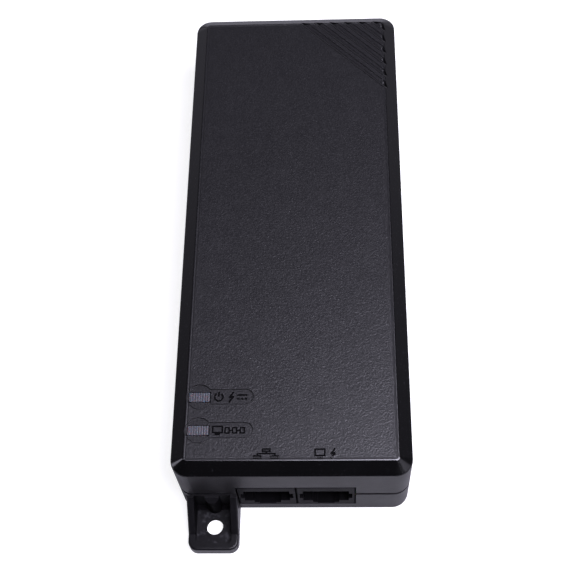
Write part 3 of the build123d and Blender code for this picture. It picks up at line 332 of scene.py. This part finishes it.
def shaded_moulding(name, base):
    """Painted shade for faces down in a hollow: the same black made darker, unpolished, and returning almost
    no light.
    """
    finish = Finish(name)
    patch = finish.noise(2.0, detail=3.0)
    skin = finish.noise(0.15, detail=2.0)
    # painted shade: the colour is darkened to between 0.3 and 0.7 of the black, for faces that lie in shade
    colour = finish.tint(patch, rgb(base, 0.3), rgb(base, 0.7))
    rough = finish.mix(skin, 0.5, 0.62)
    return finish.set(Base_Color=colour, Roughness=rough, Normal=finish.bump(skin, SKIN_DEPTH_MM),
                      Specular_IOR_Level=SHADED_SPECULAR)


def socket_plastic(base):
    """Plain satin black moulding: the front faces of the sockets and the inlet, and small black parts."""
    finish = Finish("socket_plastic")
    slow = finish.noise(6.0, detail=3.0)
    fine = finish.noise(0.12, detail=2.0)
    colour = finish.tint(slow, rgb(base, 0.7), rgb(base, 1.2))
    rough = finish.mix(finish.noise(2.0, detail=3.0), 0.34, 0.46)
    return finish.set(Base_Color=colour, Roughness=rough, Normal=finish.bump(fine, 0.008),
                      Specular_IOR_Level=SHADED_SPECULAR)


def window_plastic(base):
    """Smoky light pipe: fine ribs run lengthways with painted light and shade across them, and a painted
    highlight lies along the rounded near edge.
    """
    finish = Finish("window_plastic")
    x, y, _ = finish.parts(finish.at)
    cloud = finish.noise(1.4, detail=3.0)
    wave = finish.math("SINE", finish.math("MULTIPLY", x, 2 * math.pi / RIB_PITCH_MM))
    ribs = finish.math("MULTIPLY_ADD", wave, 0.5, 0.5)
    painted_edge_highlight = 0.0
    for near_end in WINDOW_NEAR_ENDS_MM:
        inset = finish.math("SUBTRACT", y, near_end)
        highlight_strip = finish.math("MULTIPLY", finish.ramp(inset, -0.1, 0.0), finish.ramp(inset, 0.5, 0.25))
        painted_edge_highlight = finish.math("MAXIMUM", highlight_strip, painted_edge_highlight)
    # painted light and shade: the colour runs from dark to light across each rib
    colour = finish.tint(ribs, rgb(base, 0.42), rgb(base, 0.95))
    colour = finish.tint(finish.math("MULTIPLY", cloud, 0.4), colour, rgb(base, 0.6))
    # painted highlight: a strip along the near edge is coloured up to four times as bright as the base
    colour = finish.tint(finish.math("MULTIPLY", painted_edge_highlight, 0.7), colour, rgb(base, 4.0))
    rough = finish.mix(cloud, 0.2, 0.32)
    finish.set(Base_Color=colour, Roughness=rough, Normal=finish.bump(ribs, 0.05))
    return finish.set(Subsurface_Weight=0.25, Subsurface_Scale=0.001, IOR=1.49)


def label_film(base):
    """Blank matte film with a thin printed border."""
    finish = Finish("label_film")
    outside = outline_distance(finish, LABEL_HIGH.x * MM, LABEL_HIGH.y * MM, LABEL_CORNER_MM)
    line = finish.math("MULTIPLY", finish.ramp(outside, -LABEL_LINE_IN_MM, -LABEL_LINE_IN_MM + 0.1),
                       finish.ramp(outside, -LABEL_LINE_OUT_MM, -LABEL_LINE_OUT_MM - 0.1))
    fibres = finish.noise(0.5, detail=4.0)
    colour = finish.tint(fibres, rgb(base, 0.93), rgb(base, 1.05))
    colour = finish.tint(finish.math("MULTIPLY", line, 0.8), colour, rgb(base, 0.2))
    rough = finish.mix(fibres, 0.42, 0.52)
    return finish.set(Base_Color=colour, Roughness=rough, Normal=finish.bump(fibres, 0.006))


# ------------------------------------------------------------------ finishes of metals
METALS = {
    "screw_steel": {"rough": (0.26, 0.38), "streak": (3.0, 3.0, 0.4)},
    "contact_gold": {"rough": (0.16, 0.28), "streak": (4.0, 0.5, 0.5), "tarnish": 0.15},
    "pin_plate": {"rough": (0.18, 0.32), "streak": (1.0, 0.15, 3.0)},
    "sink_aluminium": {"rough": (0.34, 0.5), "streak": (1.0, 0.12, 3.0), "grain_mm": 0.25, "depth_mm": 0.008},
}


def metal(name, base, rough, streak, grain_mm=0.3, depth_mm=0.004, tarnish=0.25):
    """Bare metal: streaked grain, and dull patches where it has been handled."""
    finish = Finish(name)
    grain = finish.noise(grain_mm, detail=3.0, at=finish.stretched(streak))
    dull = finish.ramp(finish.noise(2.4, detail=4.0, rough=0.6), 0.5, 0.75)
    colour = finish.tint(grain, rgb(base, 0.9), rgb(base, 1.08))
    colour = finish.tint(finish.math("MULTIPLY", dull, tarnish), colour, rgb(base, 0.5))
    roughness = finish.math("MULTIPLY_ADD", dull, 0.12, finish.mix(grain, *rough))
    return finish.set(Base_Color=colour, Metallic=1.0, Roughness=roughness,
                      Normal=finish.bump(grain, depth_mm))


# ------------------------------------------------------------------ finishes inside the case
MOULDINGS = {
    "sheet_film": {"rough": (0.3, 0.4), "spread": 0.08, "grain_mm": 0.8},
    "lamp_resin": {"rough": (0.1, 0.2), "spread": 0.06},
    "fuse_black": {},
    "thermistor_green": {"rough": (0.36, 0.5), "grain_mm": 0.5, "depth_mm": 0.04},
    "varistor_blue": {"rough": (0.3, 0.42), "grain_mm": 0.6, "depth_mm": 0.03},
    "ferrite": {"rough": (0.5, 0.66), "grain_mm": 0.12, "depth_mm": 0.02},
    "capacitor_yellow": {"rough": (0.32, 0.42), "spread": 0.08},
    "bobbin_black": {"rough": (0.36, 0.5)},
    "capacitor_blue": {"rough": (0.28, 0.4), "grain_mm": 0.6, "depth_mm": 0.03},
    "magnetics_black": {},
}


def plain_moulding(name, base, rough=(0.42, 0.56), spread=0.25, grain_mm=0.2, depth_mm=0.01):
    """Moulded or dipped resin with slow colour drift and a fine skin."""
    finish = Finish(name)
    patch = finish.noise(3.0, detail=4.0, rough=0.6)
    skin = finish.noise(grain_mm, detail=2.0)
    colour = finish.tint(patch, rgb(base, 1 - spread), rgb(base, 1 + spread))
    return finish.set(Base_Color=colour, Roughness=finish.mix(skin, *rough),
                      Normal=finish.bump(skin, depth_mm))


def board_laminate(base):
    """Solder mask over tracks that show as a faint raised maze, with pale edges of glass weave."""
    finish = Finish("board_laminate")
    x, y, _ = finish.parts(finish.at)
    _, _, up = finish.parts(finish.facing)
    flat = finish.ramp(finish.math("ABSOLUTE", up), 0.7, 0.9)
    maze = finish.noise(3.2, detail=0.0, twist=1.5)
    tracks = finish.ramp(finish.math("PINGPONG", finish.math("MULTIPLY", maze, 9.0), 0.5), 0.16, 0.24)
    weave = finish.math("MULTIPLY", finish.math("SINE", finish.math("MULTIPLY", x, 9.0)),
                        finish.math("SINE", finish.math("MULTIPLY", y, 9.0)))
    colour = finish.tint(tracks, rgb(base, 0.75), rgb(base, 1.5))
    colour = finish.tint(finish.math("SUBTRACT", 1.0, flat), colour, GLASS_WEAVE)
    rough = finish.mix(tracks, 0.26, 0.34)
    relief = finish.bump(weave, 0.004, under=finish.bump(tracks, 0.03))
    return finish.set(Base_Color=colour, Roughness=rough, Normal=relief)


def copper_winding(base):
    """Enamelled wire laid in close turns along the coil's height, with painted shade in the grooves between
    turns.
    """
    finish = Finish("copper_winding")
    _, _, z = finish.parts(finish.at)
    sway = finish.math("MULTIPLY_ADD", finish.noise(4.0, detail=1.0), 1.2,
                       finish.math("MULTIPLY", z, 14.0))
    turns = finish.math("ABSOLUTE", finish.math("SINE", sway))
    # painted shade and light: each turn is darkest in the groove and brightest on its crown
    colour = finish.tint(turns, rgb(base, 0.35), rgb(base, 1.15))
    rough = finish.mix(turns, 0.45, 0.24)
    return finish.set(Base_Color=colour, Metallic=0.7, Roughness=rough,
                      Normal=finish.bump(turns, 0.08))


def chip_epoxy(base):
    """Moulded epoxy; whatever lies lower than the body's underside is a tinned lead."""
    finish = Finish("chip_epoxy")
    _, _, z = finish.parts(finish.at)
    skin = finish.noise(0.14, detail=2.0)
    lead = finish.ramp(z, BOARD_TOP_MM + 0.22, BOARD_TOP_MM + 0.18)
    colour = finish.tint(skin, rgb(base, 0.8), rgb(base, 1.3))
    colour = finish.tint(lead, colour, TINNED_LEAD)
    rough = finish.mix(lead, finish.mix(skin, 0.5, 0.62), 0.3)
    return finish.set(Base_Color=colour, Metallic=lead, Roughness=rough, Normal=finish.bump(skin, 0.01))


def can_sleeve(base):
    """Shrink sleeve with a pale stripe down one side of the can."""
    finish = Finish("can_sleeve")
    across, _, _ = finish.parts(finish.facing)
    stripe = finish.ramp(across, 0.86, 0.9)
    crease = finish.noise(0.9, detail=4.0, at=finish.stretched((1.0, 1.0, 0.3)))
    colour = finish.tint(crease, rgb(base, 0.8), rgb(base, 1.25))
    colour = finish.tint(finish.math("MULTIPLY", stripe, 0.85), colour, SLEEVE_STRIPE)
    rough = finish.mix(crease, 0.2, 0.32)
    return finish.set(Base_Color=colour, Roughness=rough, Normal=finish.bump(crease, 0.02))


def tape_yellow(base):
    """Layers of polyester tape, with overlaps that show as thin steps."""
    finish = Finish("tape_yellow")
    _, _, z = finish.parts(finish.at)
    layers = finish.ramp(finish.math("PINGPONG", z, 1.6), 0.1, 0.3)
    wrinkle = finish.noise(1.1, detail=4.0)
    colour = finish.tint(wrinkle, rgb(base, 0.8), rgb(base, 1.1))
    colour = finish.tint(finish.math("MULTIPLY", layers, 0.2), colour, rgb(base, 0.6))
    relief = finish.bump(layers, 0.05, under=finish.bump(wrinkle, 0.05))
    return finish.set(Base_Color=colour, Roughness=finish.mix(wrinkle, 0.2, 0.34), Normal=relief)


FINISHES = (cover_plastic, base_plastic, socket_plastic, window_plastic, label_film, board_laminate,
            copper_winding, chip_epoxy, can_sleeve, tape_yellow)


def paint_nodes():
    """Every node gets the finish of its own slot; the ears get their own, and the faces in hollows get a
    darker copy with painted shade.
    """
    made = {finish.__name__: finish(BASE_COLOURS[finish.__name__]) for finish in FINISHES}
    made |= {name: metal(name, BASE_COLOURS[name], **look) for name, look in METALS.items()}
    made |= {name: plain_moulding(name, BASE_COLOURS[name], **look) for name, look in MOULDINGS.items()}
    for name, node in NODES.items():
        node.data.materials.clear()
        node.data.materials.append(made[SLOT_OF[name]])
    NODES["wall_ears"].data.materials[0] = ear_plastic(BASE_COLOURS["base_plastic"])
    second_finish("top_cover", satin_walls("cover_walls", BASE_COLOURS["cover_plastic"]), below_bevel)
    # faces deep in the ears, the sockets and the inlet get painted shade
    painted_shade = shaded_moulding("shaded_moulding", BASE_COLOURS["socket_plastic"])
    second_finish("wall_ears", painted_shade, inside_ear)
    for name in ("lan_socket_housing", "poe_socket_housing", "mains_inlet_body"):
        second_finish(name, painted_shade, behind_front)


def below_bevel(face):
    return face.center.z * MM < TOP_MM - BEVEL_DROP_MM - 0.02


def behind_front(face):
    """Whether a face lies further in than the front of a socket or of the inlet; these faces get painted
    shade.
    """
    return abs(face.center.y) * MM < HALF_LENGTH_MM - FACE_DEPTH_MM


def inside_ear(face):
    """Whether a face is an upright one down in the pocket of a wall ear; these faces get painted shade."""
    middle = (abs(face.center.x) - EARS_HIGH.x) * MM + EAR_HALF_WIDTH_MM
    short_of_tip = (EARS_HIGH.y - abs(face.center.y)) * MM > EAR_TIP_WALL_MM
    return abs(face.normal.z) < 0.3 and abs(middle) < EAR_HALF_WIDTH_MM - POCKET_EDGE_MM and short_of_tip


def second_finish(name, material, chosen):
    """Give the chosen faces of a node another material."""
    mesh = NODES[name].data
    mesh.materials.append(material)
    for face in mesh.polygons:
        face.material_index = int(chosen(face))


# ------------------------------------------------------------------ stage, light and camera
def make_floor():
    """A wide plain floor. It shows only from above, and shadow rays pass through it, so it casts none."""
    mesh = bpy.data.meshes.new("floor")
    shape = bmesh.new()
    bmesh.ops.create_grid(shape, x_segments=4, y_segments=4, size=FLOOR_SIZE)
    shape.to_mesh(mesh)
    shape.free()
    floor = bpy.data.objects.new("floor", mesh)
    floor.location.z = -FLOOR_DROP
    bpy.context.scene.collection.objects.link(floor)

    finish = Finish("pale_floor")
    mottle = finish.noise(40.0, detail=3.0)
    finish.set(Base_Color=finish.tint(mottle, FLOOR_DARK, FLOOR_PALE), Roughness=0.9)
    behind = finish.add("ShaderNodeNewGeometry")
    ray = finish.add("ShaderNodeLightPath")
    lifted = finish.math("MULTIPLY", ray.outputs["Is Camera Ray"], FLOOR_LIFT)
    finish.set(Emission_Color=(1.0, 1.0, 1.0, 1.0), Emission_Strength=lifted)
    clear = finish.add("ShaderNodeBsdfTransparent")
    choose = finish.add("ShaderNodeMixShader")
    unseen = finish.math("MAXIMUM", behind.outputs["Backfacing"], ray.outputs["Is Shadow Ray"])
    finish.feed(choose.inputs[0], unseen)
    finish.feed(choose.inputs[1], finish.shader.outputs[0])
    finish.feed(choose.inputs[2], clear.outputs[0])
    finish.feed(finish.tree.nodes["Material Output"].inputs[0], choose.outputs[0])
    mesh.materials.append(finish.material)


def soft_box(name, towards, far, width, height, brightness):
    """A soft box in a direction from the case, facing it, of a given radiance."""
    data = bpy.data.lights.new(name, "AREA")
    data.shape = "RECTANGLE"
    data.size, data.size_y = width, height
    data.energy = brightness * math.pi * width * height
    data.color = LIGHT_COLOUR
    light = bpy.data.objects.new(name, data)
    light.location = Vector(towards).normalized() * far
    light.rotation_euler = (-light.location).to_track_quat("-Z", "Y").to_euler()
    bpy.context.scene.collection.objects.link(light)


def smooth_step(tree, value, low, high, start, end):
    """A smooth change from start to end in the world's nodes."""
    node = tree.nodes.new("ShaderNodeMapRange")
    node.interpolation_type = "SMOOTHSTEP"
    tree.links.new(value, node.inputs[0])
    for socket, entry in zip(list(node.inputs)[1:5], (low, high, start, end)):
        socket.default_value = entry
    return node.outputs[0]


def make_light():
    """The soft boxes, and a room that the camera sees as pale and the case is lit by as mostly dark."""
    for box in SOFT_BOXES:
        soft_box(*box)
    world = bpy.data.worlds.new("studio")
    bpy.context.scene.world = world
    world.use_nodes = True
    tree = world.node_tree
    seen = tree.nodes["Background"]
    seen.inputs["Color"].default_value = ROOM_SEEN
    seen.inputs["Strength"].default_value = 1.0
    room = tree.nodes.new("ShaderNodeBackground")
    room.inputs["Color"].default_value = (*LIGHT_COLOUR, 1.0)
    where = tree.nodes.new("ShaderNodeTexCoord")
    split = tree.nodes.new("ShaderNodeSeparateXYZ")
    tree.links.new(where.outputs["Generated"], split.inputs[0])
    behind = smooth_step(tree, split.outputs[1], *BEHIND_SPAN, 0.0, ROOM_BACK)
    low = smooth_step(tree, split.outputs[2], *RISING_SPAN, 1.0, ROOM_ABOVE_SHARE)
    glow = tree.nodes.new("ShaderNodeMath")
    glow.operation = "MULTIPLY_ADD"
    tree.links.new(behind, glow.inputs[0])
    tree.links.new(low, glow.inputs[1])
    glow.inputs[2].default_value = ROOM_DIM
    tree.links.new(glow.outputs[0], room.inputs["Strength"])
    path = tree.nodes.new("ShaderNodeLightPath")
    choose = tree.nodes.new("ShaderNodeMixShader")
    tree.links.new(path.outputs["Is Camera Ray"], choose.inputs[0])
    tree.links.new(room.outputs[0], choose.inputs[1])
    tree.links.new(seen.outputs[0], choose.inputs[2])
    tree.links.new(choose.outputs[0], tree.nodes["World Output"].inputs[0])
    bpy.context.scene.view_settings.view_transform = "Standard"


def make_camera():
    """The camera looks along -back; yaw and pitch aim it, and roll turns it about that line."""
    data = bpy.data.cameras.new("camera")
    data.lens = CAMERA_LENS_MM
    data.sensor_width = SENSOR_MM
    data.clip_start, data.clip_end = CLIP_START, CLIP_END
    camera = bpy.data.objects.new("camera", data)
    bpy.context.scene.collection.objects.link(camera)
    level = math.cos(CAMERA_PITCH)
    back = Vector((math.sin(CAMERA_YAW) * level, -math.cos(CAMERA_YAW) * level, math.sin(CAMERA_PITCH)))
    right = (-back).cross(Vector((0, 0, 1))).normalized()
    up = right.cross(-back)
    turned_right = right * math.cos(CAMERA_ROLL) + up * math.sin(CAMERA_ROLL)
    turned_up = up * math.cos(CAMERA_ROLL) - right * math.sin(CAMERA_ROLL)
    turn = Matrix((turned_right, turned_up, back)).transposed().to_4x4()
    turn.translation = CAMERA_AT
    camera.matrix_world = turn
    bpy.context.scene.camera = camera


paint_nodes()
make_floor()
make_light()
make_camera()
